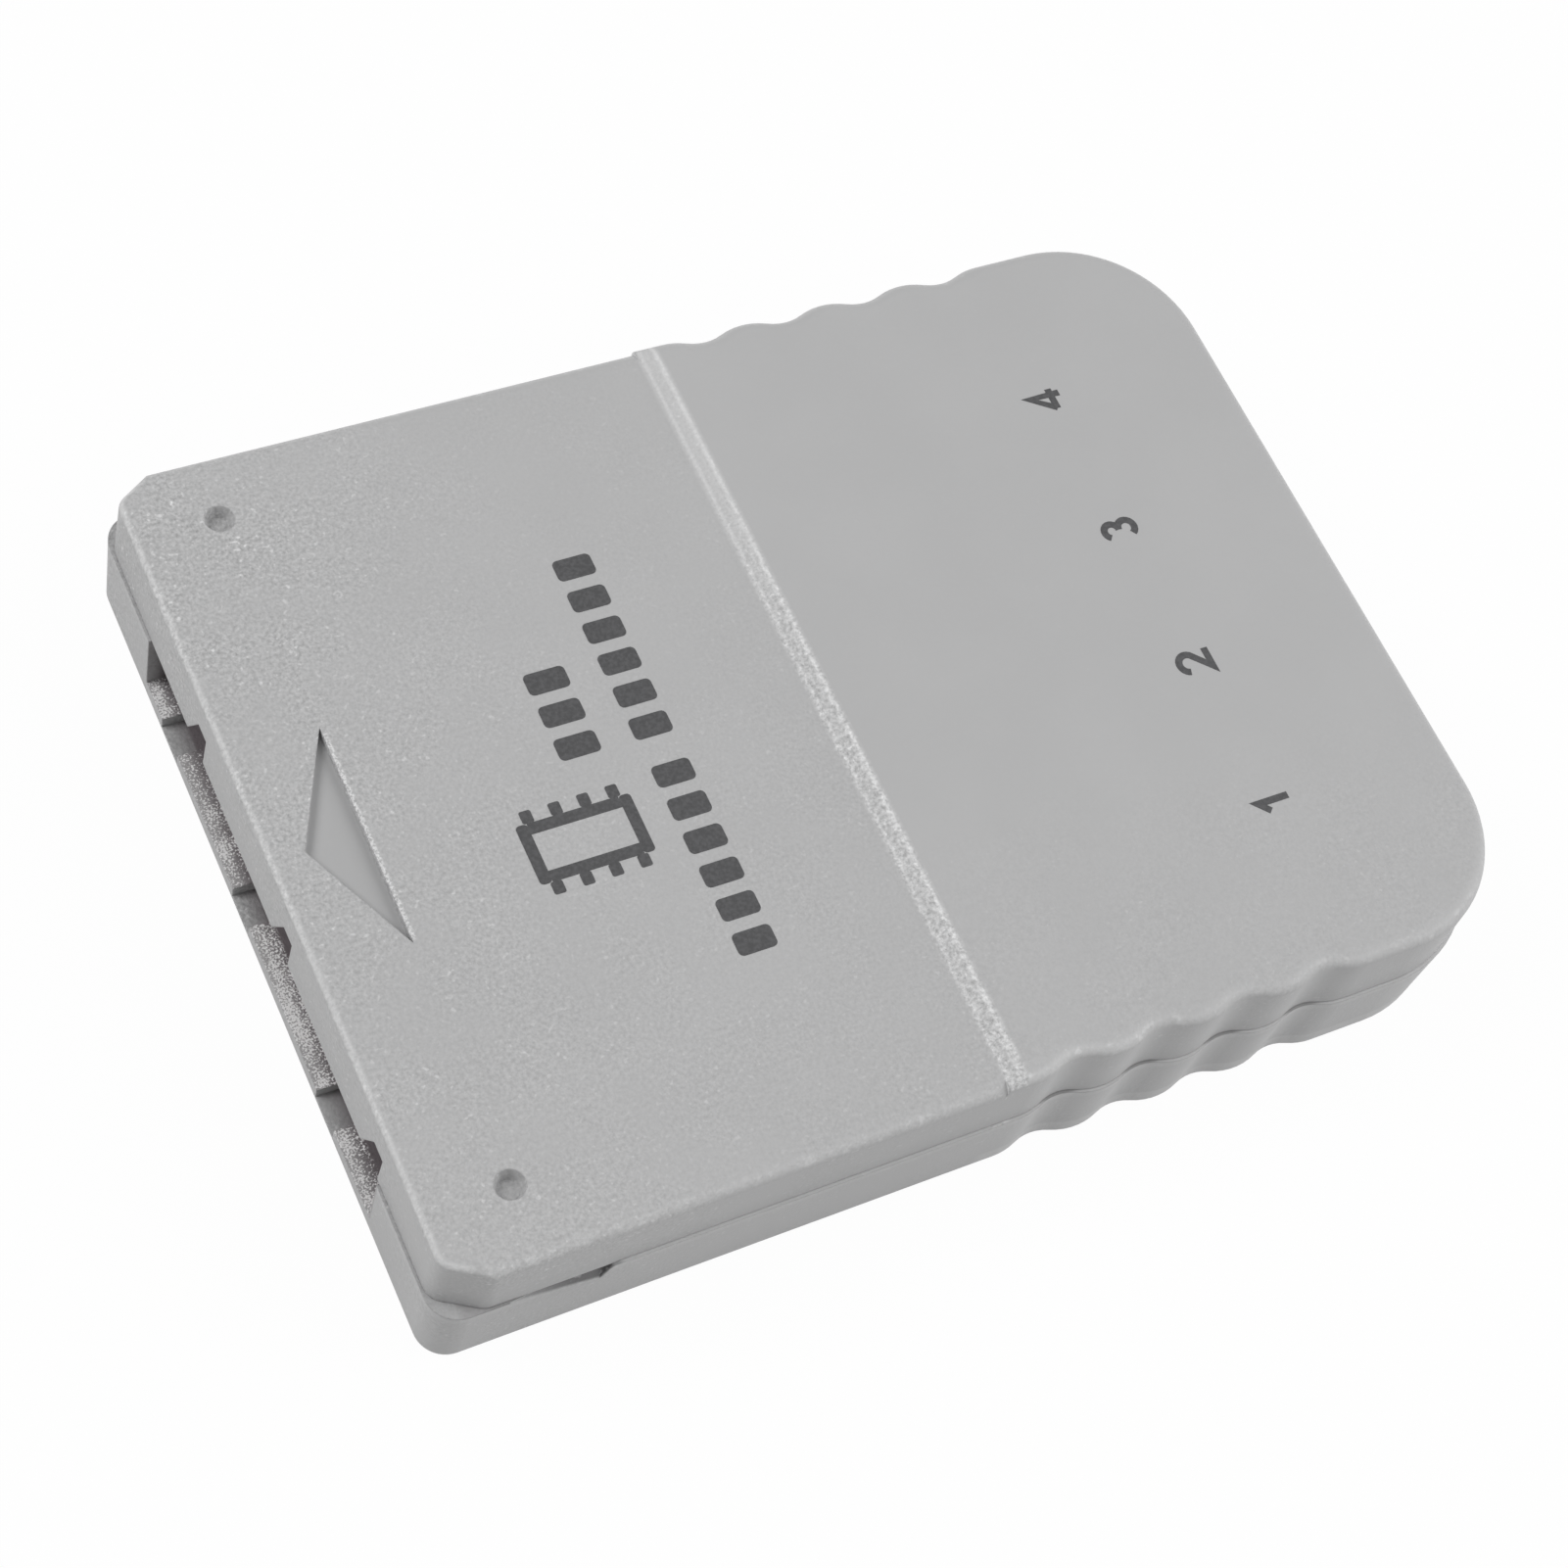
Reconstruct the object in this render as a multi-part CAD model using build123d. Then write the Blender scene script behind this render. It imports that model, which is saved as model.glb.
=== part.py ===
from build123d import *

import math
import os

# Console memory card: a two-shell moulded case round a circuit board, plugged in by its short front end.
# The origin is the middle of the underside. +Z is up, the mouth faces -X and the grip lies towards +X.
# Sizes are millimetres and degrees.

# Case outline
LENGTH = 43.9
WIDTH = 33.1
REAR_RADIUS = 5.4
TOP_CORNER_LONG = 1.65
TOP_CORNER_WIDE = 1.0
TOP_CORNER_SOFTENING = 0.8
BOTTOM_CORNER_RADIUS = 1.2
TOP_DRAFT = 1.5
BOTTOM_DRAFT = 0.75
TOP_EDGE_RADIUS = 0.6
TOP_FRONT_EDGE_RADIUS = 0.35
BOTTOM_CHAMFER = 0.3

# Joint between the shells: the upper one stands in a little, above a narrow shadow gap
PARTING_HEIGHT = 3.8
TOP_INSET = 0.1
SEAM_GAP = 0.03
SEAM_DEPTH = 0.25
TONGUE_START = 5.5
TONGUE_LENGTH = 14.0
TONGUE_HEIGHT = 0.6
TONGUE_THICKNESS = 0.45
TONGUE_CLEARANCE = 0.1

# Grip at the rear: scalloped sides and the ramp that leads up to its raised top
SCALLOP_COUNT = 4
SCALLOP_PITCH = 3.485
SCALLOP_DEPTH = 0.35
SCALLOP_CREST_RADIUS = 2.7
SCALLOPS_END_FROM_REAR = 7.8
GRIP_RISE = 0.25
RAMP_FROM_REAR = 22.9
RAMP_SLOPE = 40.0
RAMP_FOOT_RADIUS = 0.35

# Walls, and the stack of heights inside
FLOOR = 0.95
ROOF = 1.1
SIDE_WALL = 1.1
END_WALL = 1.2
CAVITY_FRONT_RADIUS = 0.6
UNDER_BOARD = 0.9
HEADROOM = 0.75

# Mouth: notches with one slanted side in the front wall above it, channels in the sill below it
MOUTH_FROM_SIDE = 5.4
NOTCH_COUNT = 3
NOTCH_WIDTH = 1.55
NOTCH_HEIGHT = 1.45
NOTCH_SLANT = 0.8
NOTCH_NEAR_MARGIN = 0.2
NOTCH_FAR_MARGIN = 3.75
CHANNEL_WIDTH = 1.6
CHANNEL_DEPTH = 0.5
CHANNEL_LENGTH = 5.0
CHANNEL_OFFSETS = (3.2, 3.1, 2.05)

# Side catches: hollows under the parting line that deepen towards the rear and fade out downwards
CATCH_START = 2.6
CATCH_LENGTH = 3.8
CATCH_HEIGHT = 0.95
CATCH_SHALLOW = 0.05
CATCH_DEEP = 0.45
CATCH_SLOPE = 25.0

# Marks sunk into the top face
ARROW_TIP = 1.48
ARROW_LENGTH = 2.2
ARROW_WIDTH = 8.84
ARROW_DEPTH = 0.35
DIMPLE_DIAMETER = 1.1
DIMPLE_FLOOR_DIAMETER = 0.8
DIMPLE_DEPTH = 0.5

# Pegs of the top shell and sockets of the bottom shell
PEG_DIAMETER = 1.6
PEG_REACH = 1.9
PEG_CLEARANCE = 0.05
PEG_END_GAP = 0.2
SOCKET_SIZE = 3.0
FRONT_PEG_FROM_FRONT = 3.39
FRONT_PEG_FROM_SIDE = 2.92
REAR_PEG_FROM_REAR = 6.95
REAR_PEG_FROM_SIDE = 5.0

# Circuit board, with the ribs that locate it, its seats and the ribs that hold it down
BOARD_THICKNESS = 1.0
BOARD_SETBACK = 1.5
BOARD_SHOULDER = 6.5
BOARD_SIDE_CLEARANCE = 0.25
BOARD_MOUTH_CLEARANCE = 0.15
BOARD_REAR_CLEARANCE = 2.4
BOARD_CHAMFER = 0.6
LOCATOR_WIDTH = 1.6
LOCATOR_REACH = 1.3
LOCATOR_CLEARANCE = 0.1
LOCATOR_ABOVE_BOARD = 0.6
LOCATOR_BEHIND_SHOULDER = 2.5
HOLD_DOWN_THICKNESS = 1.0
HOLD_DOWN_LENGTH = 2.4
HOLD_DOWN_CLEARANCE = 0.05
HOLD_DOWN_FROM_BOARD_REAR = 2.5
SEAT_SIZE = 2.4
SEAT_FROM_BOARD_EDGE = 2.8
SEAT_RIB_THICKNESS = 0.8
SEAT_RIB_LENGTH = 18.0
SEAT_RIB_SPACING = 8.0

# Contact pads along the board's front edge
PAD_COUNT = 12
PAD_WIDTH = 1.0
PAD_LENGTH = 4.5
PAD_THICKNESS = 0.1
PAD_SETBACK = 0.4
PAD_ROW_MARGIN = 0.8

# Memory chip and its bent leads
CHIP_LENGTH = 15.4
CHIP_WIDTH = 7.5
CHIP_HEIGHT = 1.9
CHIP_STANDOFF = 0.1
CHIP_DRAFT = 7.0
CHIP_FROM_BOARD_REAR = 9.6
CHIP_MARK_DIAMETER = 1.0
CHIP_MARK_DEPTH = 0.1
CHIP_MARK_MARGIN = 1.3
LEAD_PITCH = 1.27
LEAD_WIDTH = 0.42
LEAD_THICKNESS = 0.2
LEAD_SHOULDER = 0.4
LEAD_SLANT = 0.2
LEAD_FOOT = 0.8
LEAD_ROW_MARGIN = 0.6

# Small parts on the board: length, width and height
RESISTOR_COUNT = 4
RESISTOR_SIZE = (1.6, 0.8, 0.45)
RESISTOR_PITCH = 4.4
RESISTOR_BEHIND_PADS = 1.0
CAPACITOR_SIZE = (2.0, 1.25, 0.85)
CAPACITOR_FROM_CHIP_END = 2.2
END_CAP_LENGTH = 0.35
END_CAP_PROUD = 0.04
BULK_SIZE = (3.5, 2.8, 1.9)
BULK_DRAFT = 5.0
BULK_TAB_WIDTH = 2.2
BULK_TAB_THICKNESS = 0.15
BULK_TAB_HEIGHT = 0.9
SUPPLY_ROW_FROM_BOARD_REAR = 2.3

# What follows from the sizes above
FRONT_X = -LENGTH / 2
REAR_X = LENGTH / 2
HALF_WIDTH = WIDTH / 2
BOARD_BOTTOM = FLOOR + UNDER_BOARD
BOARD_TOP = BOARD_BOTTOM + BOARD_THICKNESS
CEILING = BOARD_TOP + CHIP_STANDOFF + CHIP_HEIGHT + HEADROOM
FRONT_TOP = CEILING + ROOF
GRIP_TOP = FRONT_TOP + GRIP_RISE
CAVITY_HALF = HALF_WIDTH - SCALLOP_DEPTH - SIDE_WALL
LAND_WIDTH = SIDE_WALL - TOP_INSET - SEAM_DEPTH
MOUTH_HALF = HALF_WIDTH - MOUTH_FROM_SIDE
NOTCH_PITCH = (2 * MOUTH_HALF - NOTCH_NEAR_MARGIN - NOTCH_FAR_MARGIN - NOTCH_WIDTH) / (NOTCH_COUNT - 1)
BOARD_HALF = CAVITY_HALF - BOARD_SIDE_CLEARANCE
BOARD_TONGUE_HALF = MOUTH_HALF - BOARD_MOUTH_CLEARANCE
BOARD_FRONT_X = FRONT_X + BOARD_SETBACK
BOARD_SHOULDER_X = FRONT_X + BOARD_SHOULDER
REAR_PEG_X = REAR_X - REAR_PEG_FROM_REAR
BOARD_REAR_X = REAR_PEG_X - SOCKET_SIZE / 2 - BOARD_REAR_CLEARANCE
SEAT_Y = BOARD_HALF - SEAT_FROM_BOARD_EDGE
LOCATOR_X = BOARD_SHOULDER_X + LOCATOR_BEHIND_SHOULDER
HOLD_DOWN_X = BOARD_REAR_X - HOLD_DOWN_FROM_BOARD_REAR
CHIP_X = BOARD_REAR_X - CHIP_FROM_BOARD_REAR
RAMP_X = REAR_X - RAMP_FROM_REAR
PAD_X = BOARD_FRONT_X + PAD_SETBACK + PAD_LENGTH / 2

# How far a cutting shape runs past the face that it opens, and how far a boss is rooted in its wall
OVERRUN = 3.0
ROOT = 0.3

SIDES = (-1, 1)


def block(x0, x1, y0, y1, z0, z1):
    """Box between two corners."""
    return Pos((x0 + x1) / 2, (y0 + y1) / 2, (z0 + z1) / 2) * Box(x1 - x0, y1 - y0, z1 - z0)


def pad(x, y, length, width, z0, z1):
    """Box centred on a place, between two heights."""
    return Pos(x, y, (z0 + z1) / 2) * Box(length, width, z1 - z0)


def rod(x, y, diameter, z0, z1):
    """Upright cylinder between two heights."""
    return Pos(x, y, (z0 + z1) / 2) * Cylinder(diameter / 2, z1 - z0)


def arc_about(centre, radius, start, end):
    """Arc of a circle between two angles, counted from +X towards +Y."""

    def at(angle):
        turn = math.radians(angle)
        return (centre[0] + radius * math.cos(turn), centre[1] + radius * math.sin(turn))

    return ThreePointArc(at(start), at((start + end) / 2), at(end))


def peg_places():
    """Centres of the four pegs that join the shells."""
    front_y = HALF_WIDTH - FRONT_PEG_FROM_SIDE
    rear_y = HALF_WIDTH - REAR_PEG_FROM_SIDE
    front = [(FRONT_X + FRONT_PEG_FROM_FRONT, side * front_y) for side in SIDES]
    rear = [(REAR_PEG_X, side * rear_y) for side in SIDES]
    return front, rear


def notch_centres():
    """Y of each notch, from the near end of the mouth."""
    first = NOTCH_NEAR_MARGIN + NOTCH_WIDTH / 2 - MOUTH_HALF
    return [first + index * NOTCH_PITCH for index in range(NOTCH_COUNT)]


def scallops(half):
    """Near edge of the grip, front to rear: hollows between rounded crests, each arc tangent to the next."""
    turn = 2 * math.atan(2 * SCALLOP_DEPTH / SCALLOP_PITCH)
    swing = math.degrees(turn)
    hollow_radius = SCALLOP_PITCH / (2 * math.sin(turn)) - SCALLOP_CREST_RADIUS
    first = REAR_X - SCALLOPS_END_FROM_REAR - SCALLOP_COUNT * SCALLOP_PITCH
    crest_y = SCALLOP_CREST_RADIUS - half
    hollow_y = SCALLOP_DEPTH - half - hollow_radius
    edges = []
    for index in range(SCALLOP_COUNT):
        crest = (first + index * SCALLOP_PITCH, crest_y)
        hollow = (first + (index + 0.5) * SCALLOP_PITCH, hollow_y)
        before = swing if index else 0
        edges.append(arc_about(crest, SCALLOP_CREST_RADIUS, -90 - before, swing - 90))
        edges.append(arc_about(hollow, hollow_radius, 90 + swing, 90 - swing))
    last_crest = (first + SCALLOP_COUNT * SCALLOP_PITCH, crest_y)
    edges.append(arc_about(last_crest, SCALLOP_CREST_RADIUS, -90 - swing, -90))
    return edges


def cut_front(front, half, side_end):
    """Front corner of the top shell: a flat cut, softened where it meets the front and the side."""
    cut_start = (front, TOP_CORNER_WIDE - half)
    cut_end = (front + TOP_CORNER_LONG, -half)
    return FilletPolyline((front, 0), cut_start, cut_end, side_end, radius=TOP_CORNER_SOFTENING).edges()


def round_front(front, half, side_end):
    """Front corner of the bottom shell: a quarter round."""
    return FilletPolyline((front, 0), (front, -half), side_end, radius=BOTTOM_CORNER_RADIUS).edges()


def case_outline(inset, front_shape, forward=0.0):
    """Plan of the case, drawn along the near side and mirrored."""
    half = HALF_WIDTH - inset
    rear = REAR_X - inset
    grip = scallops(half)
    rear_corner = arc_about((rear - REAR_RADIUS, REAR_RADIUS - half), REAR_RADIUS, -90, 0)
    near_side = Curve() + front_shape(FRONT_X + inset - forward, half, grip[0] @ 0)
    near_side += grip
    near_side += [Line(grip[-1] @ 1, rear_corner @ 0), rear_corner, Line(rear_corner @ 1, (rear, 0))]
    outline = make_face(near_side + mirror(near_side, Plane.XZ))
    return Face(outline.face().outer_wire())


def drafted(outline, height, draft):
    """Block with drafted sides that stands on its outline."""
    return extrude(outline, amount=height, taper=draft)


def upper_rim(body):
    """Edges round the upper face."""
    return body.faces().sort_by(Axis.Z)[-1].edges()


def upper_half(height):
    """Outside of the top shell: a wide rounding along the sides and rear, a tighter one across the front."""
    nose = drafted(case_outline(TOP_INSET, cut_front), height, TOP_DRAFT)
    nose = fillet(upper_rim(nose), TOP_FRONT_EDGE_RADIUS)
    body = drafted(case_outline(TOP_INSET, round_front, OVERRUN), height, TOP_DRAFT)
    body = fillet(upper_rim(body), TOP_EDGE_RADIUS)
    return nose & body


def lower_half(height):
    """Outside of the bottom shell, upside down."""
    half = drafted(case_outline(0, round_front), height, BOTTOM_DRAFT)
    return chamfer(upper_rim(half), BOTTOM_CHAMFER)


def ramp_cutter():
    """Everything ahead of the grip and above its ramp, an S-curve of two tangent arcs."""
    slope = math.radians(RAMP_SLOPE)
    shoulder_radius = GRIP_RISE / (1 - math.cos(slope)) - RAMP_FOOT_RADIUS
    crest_x = RAMP_X + (RAMP_FOOT_RADIUS + shoulder_radius) * math.sin(slope)
    foot = arc_about((RAMP_X, FRONT_TOP + RAMP_FOOT_RADIUS), RAMP_FOOT_RADIUS, -90, RAMP_SLOPE - 90)
    shoulder = arc_about((crest_x, GRIP_TOP - shoulder_radius), shoulder_radius, 90 + RAMP_SLOPE, 90)
    above = GRIP_TOP + OVERRUN
    ahead = FRONT_X - OVERRUN
    surround = Polyline(shoulder @ 1, (crest_x, above), (ahead, above), (ahead, 0), (RAMP_X, 0), foot @ 0)
    profile = make_face(Curve() + [foot, shoulder, surround])
    return extrude(Plane.XZ * profile, amount=WIDTH, both=True)


def cavity(z0, z1, grow=0.0):
    """Hollow inside the case, on one plan for both shells, or a block that reaches further out."""
    front = FRONT_X + END_WALL - grow
    rear = REAR_X - END_WALL + grow
    plan = Pos((front + rear) / 2, 0) * Rectangle(rear - front, 2 * (CAVITY_HALF + grow))
    plan = fillet(plan.vertices().group_by(Axis.X)[-1], REAR_RADIUS - END_WALL + grow)
    plan = fillet(plan.vertices().group_by(Axis.X)[0], CAVITY_FRONT_RADIUS + grow)
    return Pos(0, 0, z0) * extrude(plan, amount=z1 - z0)


def joint_tongue(clearance):
    """Raised lip along both inner edges of the bottom shell, or the recess for it with a clearance."""
    x0 = FRONT_X + TONGUE_START - clearance
    x1 = FRONT_X + TONGUE_START + TONGUE_LENGTH + clearance
    thickness = TONGUE_THICKNESS + clearance
    top = PARTING_HEIGHT + TONGUE_HEIGHT + clearance
    near = block(x0, x1, -CAVITY_HALF - thickness, -CAVITY_HALF, PARTING_HEIGHT - ROOT, top)
    return near + mirror(near, Plane.XZ)


def arrow_recess():
    """Broad arrowhead that points at the mouth."""
    tip = (FRONT_X + ARROW_TIP, 0)
    base_x = FRONT_X + ARROW_TIP + ARROW_LENGTH
    plan = make_face(Polyline(tip, (base_x, -ARROW_WIDTH / 2), (base_x, ARROW_WIDTH / 2), close=True))
    return Pos(0, 0, FRONT_TOP - ARROW_DEPTH) * extrude(plan, amount=OVERRUN)


def dimple():
    """Small countersunk hollow below the origin."""
    flare = (DIMPLE_DIAMETER - DIMPLE_FLOOR_DIAMETER) / 2 / DIMPLE_DEPTH
    mouth_radius = DIMPLE_DIAMETER / 2 + flare * ROOT
    cone = Cone(DIMPLE_FLOOR_DIAMETER / 2, mouth_radius, DIMPLE_DEPTH + ROOT)
    return Pos(0, 0, (ROOT - DIMPLE_DEPTH) / 2) * cone


def mouth_notch():
    """Notch through the front wall, open below and slanted on its far side, about the middle of its width."""
    near = -NOTCH_WIDTH / 2
    far = NOTCH_WIDTH / 2
    corners = [(near, -ROOT), (far, -ROOT), (far, 0), (far - NOTCH_SLANT, NOTCH_HEIGHT), (near, NOTCH_HEIGHT)]
    profile = make_face(Polyline(*corners, close=True))
    return Pos(FRONT_X - OVERRUN, 0, 0) * extrude(Plane.YZ * profile, amount=OVERRUN + END_WALL + ROOT)


def top_shell():
    """Upper half of the case, with the raised grip, keyed front wall, pegs and hold-down ribs."""
    front_pegs, rear_pegs = peg_places()
    low = upper_half(FRONT_TOP - PARTING_HEIGHT)
    high = upper_half(GRIP_TOP - PARTING_HEIGHT)
    plug_end = low & block(FRONT_X - OVERRUN, RAMP_X, -WIDTH, WIDTH, -OVERRUN, GRIP_TOP)
    grip = Pos(0, 0, PARTING_HEIGHT) * high - ramp_cutter()
    shell = Pos(0, 0, PARTING_HEIGHT) * plug_end + grip
    shell -= cavity(PARTING_HEIGHT, CEILING)
    shell -= joint_tongue(TONGUE_CLEARANCE)
    for y in notch_centres():
        shell -= Pos(0, y, PARTING_HEIGHT) * mouth_notch()
    for x, y in front_pegs + rear_pegs:
        shell += rod(x, y, PEG_DIAMETER, PARTING_HEIGHT - PEG_REACH, CEILING + ROOT)
    rib_bottom = BOARD_TOP + HOLD_DOWN_CLEARANCE
    for side in SIDES:
        y = side * SEAT_Y
        shell += pad(HOLD_DOWN_X, y, HOLD_DOWN_THICKNESS, HOLD_DOWN_LENGTH, rib_bottom, CEILING + ROOT)
    shell -= arrow_recess()
    for x, y in front_pegs:
        shell -= Pos(x, y, FRONT_TOP) * dimple()
    return shell


def catch_pocket():
    """Wedge cut into the near side of the bottom shell, under the parting line."""
    side = -HALF_WIDTH
    outside = side - OVERRUN
    x0 = FRONT_X + CATCH_START
    x1 = x0 + CATCH_LENGTH
    floor = Line((x1, side + CATCH_DEEP), (x0, side + CATCH_SHALLOW))
    plan = make_face(floor + Polyline(floor @ 1, (x0, outside), (x1, outside), floor @ 0))
    hollow = extrude(plan, amount=CATCH_HEIGHT, taper=CATCH_SLOPE)
    return Pos(0, 0, PARTING_HEIGHT) * mirror(hollow, Plane.XY)


def locating_ribs(clearance, z0, z1):
    """Upright ribs on both side walls that key into the board's edges, or the notches for them."""
    x0 = LOCATOR_X - LOCATOR_WIDTH / 2 - clearance
    x1 = LOCATOR_X + LOCATOR_WIDTH / 2 + clearance
    near = block(x0, x1, -CAVITY_HALF - ROOT, LOCATOR_REACH + clearance - CAVITY_HALF, z0, z1)
    return near + mirror(near, Plane.XZ)


def socket_corner(base):
    """Solid near front corner of the bottom shell, thick enough round its peg."""
    front_pegs, rear_pegs = peg_places()
    peg_x, peg_y = front_pegs[0]
    front = FRONT_X + END_WALL - ROOT
    side = -CAVITY_HALF - ROOT
    reach = SOCKET_SIZE / 2
    return block(front, peg_x + reach, side, peg_y + reach, base, PARTING_HEIGHT)


def bottom_shell():
    """Lower half of the case, with the sill of the mouth, peg sockets and the seats of the board."""
    front_pegs, rear_pegs = peg_places()
    rim = PARTING_HEIGHT - SEAM_GAP
    shell = Pos(0, 0, rim) * Rot(180, 0, 0) * lower_half(rim)
    shell += cavity(rim - ROOT, PARTING_HEIGHT, LAND_WIDTH)
    shell -= cavity(FLOOR, PARTING_HEIGHT + OVERRUN)
    inner_x = FRONT_X + END_WALL + ROOT
    shell -= block(FRONT_X - OVERRUN, inner_x, -MOUTH_HALF, MOUTH_HALF, FLOOR, PARTING_HEIGHT + OVERRUN)
    channel_end = FRONT_X + CHANNEL_LENGTH
    for notch_y, offset in zip(notch_centres(), CHANNEL_OFFSETS):
        y0 = notch_y + offset - CHANNEL_WIDTH / 2
        y1 = notch_y + offset + CHANNEL_WIDTH / 2
        shell -= block(FRONT_X - OVERRUN, channel_end, y0, y1, FLOOR - CHANNEL_DEPTH, FLOOR + ROOT)
    near_pocket = catch_pocket()
    shell -= near_pocket + mirror(near_pocket, Plane.XZ)
    shell += joint_tongue(0)
    base = FLOOR - ROOT
    for x in (CHIP_X - SEAT_RIB_SPACING / 2, CHIP_X + SEAT_RIB_SPACING / 2):
        shell += pad(x, 0, SEAT_RIB_THICKNESS, SEAT_RIB_LENGTH, base, BOARD_BOTTOM)
    for side in SIDES:
        for x in (LOCATOR_X, HOLD_DOWN_X):
            shell += pad(x, side * SEAT_Y, SEAT_SIZE, SEAT_SIZE, base, BOARD_BOTTOM)
    locators = locating_ribs(0, base, BOARD_TOP + LOCATOR_ABOVE_BOARD)
    near_corner = socket_corner(base)
    shell += locators + near_corner + mirror(near_corner, Plane.XZ)
    for x, y in rear_pegs:
        shell += pad(x, y, SOCKET_SIZE, SOCKET_SIZE, base, PARTING_HEIGHT)
    bore = PEG_DIAMETER + 2 * PEG_CLEARANCE
    for x, y in front_pegs + rear_pegs:
        shell -= rod(x, y, bore, PARTING_HEIGHT - PEG_REACH - PEG_END_GAP, PARTING_HEIGHT + OVERRUN)
    return shell


def circuit_board():
    """Board with a narrow front tongue for the mouth and wide shoulders on the seats."""
    plan = make_face(
        Polyline(
            (BOARD_FRONT_X, -BOARD_TONGUE_HALF),
            (BOARD_SHOULDER_X, -BOARD_TONGUE_HALF),
            (BOARD_SHOULDER_X, -BOARD_HALF),
            (BOARD_REAR_X, -BOARD_HALF),
            (BOARD_REAR_X, BOARD_HALF),
            (BOARD_SHOULDER_X, BOARD_HALF),
            (BOARD_SHOULDER_X, BOARD_TONGUE_HALF),
            (BOARD_FRONT_X, BOARD_TONGUE_HALF),
            close=True,
        )
    )
    plan = chamfer(plan.vertices().group_by(Axis.X)[0], BOARD_CHAMFER)
    board = Pos(0, 0, BOARD_BOTTOM) * extrude(plan, amount=BOARD_THICKNESS)
    board -= locating_ribs(LOCATOR_CLEARANCE, BOARD_BOTTOM - OVERRUN, BOARD_TOP + OVERRUN)
    return board


def contact_pad(index):
    """Plated contact, counted from the near end of the row."""
    pitch = (2 * BOARD_TONGUE_HALF - 2 * PAD_ROW_MARGIN) / PAD_COUNT
    y = (index + 0.5 - PAD_COUNT / 2) * pitch
    return Pos(PAD_X, y, BOARD_TOP + PAD_THICKNESS / 2) * Box(PAD_LENGTH, PAD_WIDTH, PAD_THICKNESS)


def chip_level():
    """Height of the plane in which the leads leave the chip."""
    return BOARD_TOP + CHIP_STANDOFF + CHIP_HEIGHT / 2


def memory_chip():
    """Moulded package that tapers both ways from the plane of its leads, with a round mark at one end."""
    upper = extrude(Rectangle(CHIP_WIDTH, CHIP_LENGTH), amount=CHIP_HEIGHT / 2, taper=CHIP_DRAFT)
    body = upper + mirror(upper, Plane.XY)
    mark_x = CHIP_MARK_MARGIN - CHIP_WIDTH / 2
    mark_y = CHIP_MARK_MARGIN - CHIP_LENGTH / 2
    body -= rod(mark_x, mark_y, CHIP_MARK_DIAMETER, CHIP_HEIGHT / 2 - CHIP_MARK_DEPTH, CHIP_HEIGHT)
    return Pos(CHIP_X, 0, chip_level()) * body


def memory_chip_leads():
    """Rows of leads on both long sides: out of the package, down, and flat on the board."""
    out = CHIP_WIDTH / 2
    knee = out + LEAD_SHOULDER
    ankle = knee + LEAD_SLANT
    toe = ankle + LEAD_FOOT
    drop = chip_level() - BOARD_TOP
    profile = make_face(
        Polyline(
            (out, LEAD_THICKNESS / 2),
            (knee, LEAD_THICKNESS / 2),
            (ankle, LEAD_THICKNESS - drop),
            (toe, LEAD_THICKNESS - drop),
            (toe, -drop),
            (ankle - LEAD_THICKNESS, -drop),
            (knee - LEAD_THICKNESS, -LEAD_THICKNESS / 2),
            (out, -LEAD_THICKNESS / 2),
            close=True,
        )
    )
    rear_lead = extrude(Plane.XZ * profile, amount=LEAD_WIDTH / 2, both=True)
    front_lead = mirror(rear_lead, Plane.YZ)
    count = int((CHIP_LENGTH - 2 * LEAD_ROW_MARGIN) / LEAD_PITCH) + 1
    leads = Part()
    for index in range(count):
        place = Pos(CHIP_X, (index - (count - 1) / 2) * LEAD_PITCH, chip_level())
        leads += [place * rear_lead, place * front_lead]
    return leads


def capped_chip(size, x, y):
    """Small ceramic part lying along X between two slightly proud metal end caps."""
    length, width, height = size
    inner = Box(length, width - 2 * END_CAP_PROUD, height - 2 * END_CAP_PROUD)
    cap = Box(END_CAP_LENGTH, width, height)
    reach = (length - END_CAP_LENGTH) / 2
    return Pos(x, y, BOARD_TOP + height / 2) * (inner + Pos(-reach, 0, 0) * cap + Pos(reach, 0, 0) * cap)


def bulk_capacitor(x):
    """Moulded supply capacitor lying across the board, its metal tabs folded under both ends."""
    length, width, height = BULK_SIZE
    body = extrude(Rectangle(width, length - 2 * BULK_TAB_THICKNESS), amount=height, taper=BULK_DRAFT)
    half_tab = BULK_TAB_WIDTH / 2
    near_tab = block(-half_tab, half_tab, -length / 2, ROOT - length / 2, 0, BULK_TAB_HEIGHT)
    return Pos(x, 0, BOARD_TOP) * (body + near_tab + mirror(near_tab, Plane.XZ))


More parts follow.
